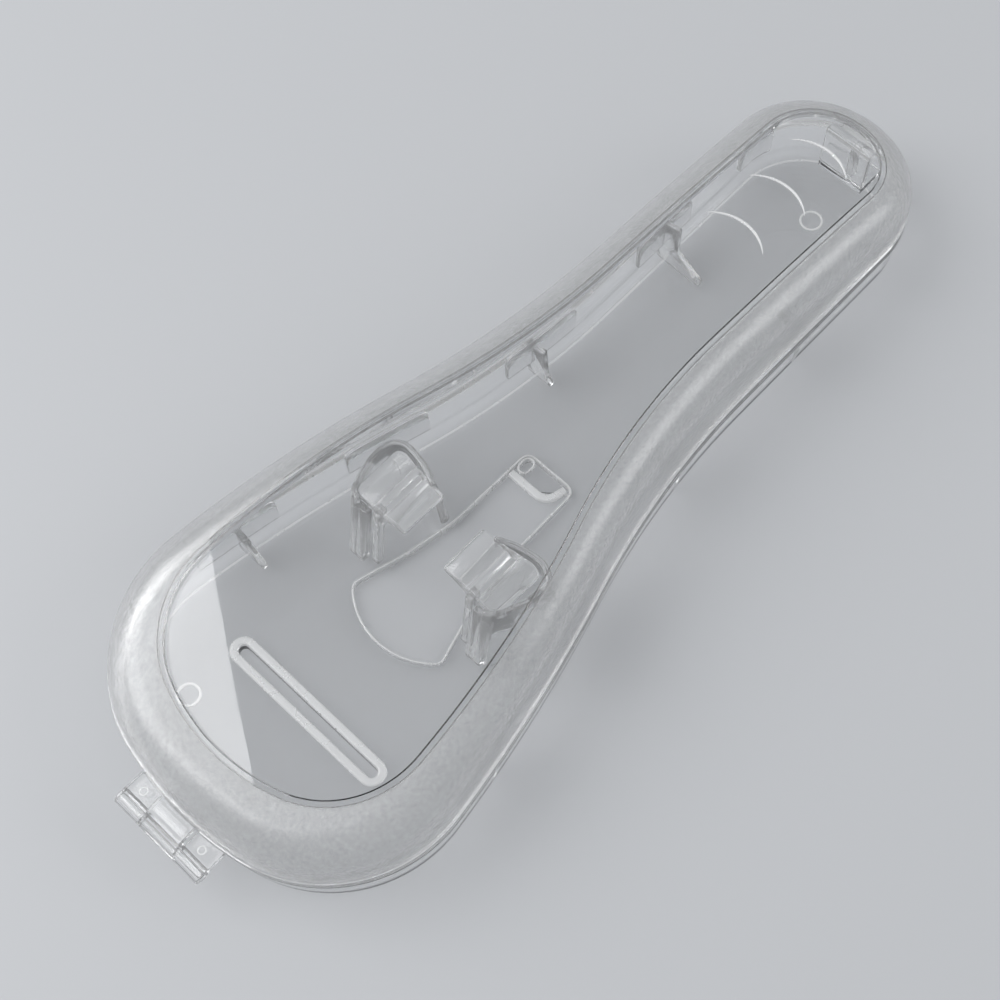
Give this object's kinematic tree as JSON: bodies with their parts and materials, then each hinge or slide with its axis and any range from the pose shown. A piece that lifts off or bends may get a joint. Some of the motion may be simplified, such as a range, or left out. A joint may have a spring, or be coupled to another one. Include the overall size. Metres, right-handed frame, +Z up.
{
  "type": "razor travel case",
  "caption": "Clear hinged travel case for a razor, with a wide round end, a narrow neck, inner neck clips and a snap latch under a frosted-edged arched lid.",
  "frame": {"origin": "under the middle of the closed case's overall length, on the surface that it stands on", "axes": "+X along the case from the hinge at the wide end to the latch at the narrow end, +Y across the case, +Z up out of the lid"},
  "size_m": [0.1826, 0.0668, 0.0279],
  "materials": {
    "clear_plastic": "glossy clear moulded plastic",
    "clear_window": "polished clear moulded plastic",
    "frosted_plastic": "fine satin-frosted clear plastic",
    "pin_plastic": "clear plastic pin"
  },
  "bodies": {
    "base": {"base_floor": "clear_window", "base_lip": "clear_plastic", "base_wall": "clear_plastic", "clip_leg_narrow_left": "clear_plastic", "clip_leg_narrow_right": "clear_plastic", "clip_leg_wide_left": "clear_plastic", "clip_leg_wide_right": "clear_plastic", "clip_wall_left": "clear_plastic", "clip_wall_right": "clear_plastic", "cross_band": "clear_plastic", "cutout_rim": "clear_plastic", "fin_handle_left": "clear_plastic", "fin_handle_right": "clear_plastic", "fin_neck_left": "clear_plastic", "fin_neck_right": "clear_plastic", "fin_wide_left": "clear_plastic", "fin_wide_right": "clear_plastic", "hinge_lug_left": "clear_plastic", "hinge_lug_right": "clear_plastic", "hinge_pin": "pin_plastic", "latch_shelf": "clear_plastic", "round_mark_narrow": "clear_plastic", "round_mark_wide": "clear_plastic", "slot_rim": "clear_plastic", "snap_block_left": "clear_plastic", "snap_block_right": "clear_plastic", "tip_hole_rim": "clear_plastic", "tip_plate": "clear_plastic", "tongue_left_1": "clear_plastic", "tongue_left_2": "clear_plastic", "tongue_left_3": "clear_plastic", "tongue_left_4": "clear_plastic", "tongue_left_5": "clear_plastic", "tongue_right_1": "clear_plastic", "tongue_right_2": "clear_plastic", "tongue_right_3": "clear_plastic", "tongue_right_4": "clear_plastic", "tongue_right_5": "clear_plastic"},
    "lid": {"hinge_strap": "clear_plastic", "lid_band": "frosted_plastic", "lid_border": "clear_plastic", "lid_catch": "clear_plastic", "lid_rim": "clear_plastic", "lid_window": "clear_window", "thumb_lip": "clear_plastic", "thumb_ridge_1": "clear_plastic", "thumb_ridge_2": "clear_plastic", "thumb_ridge_3": "clear_plastic"},
    "latch": {"latch_tongue": "clear_plastic", "latch_gusset": "clear_plastic"}
  },
  "joints": [
    {"name": "lid_hinge", "type": "hinge", "parent": "base", "child": "lid", "pos_m": [-0.08985, 0, 0.009], "axis": [0, -1, 0], "range_deg": [0, 165]},
    {"name": "latch_flex", "type": "hinge", "parent": "base", "child": "latch", "pos_m": [0.08085, 0, 0.0086], "axis": [0, -1, 0], "range_deg": [0, 6], "stiffness_Nm_per_rad": 0.2}
  ]
}
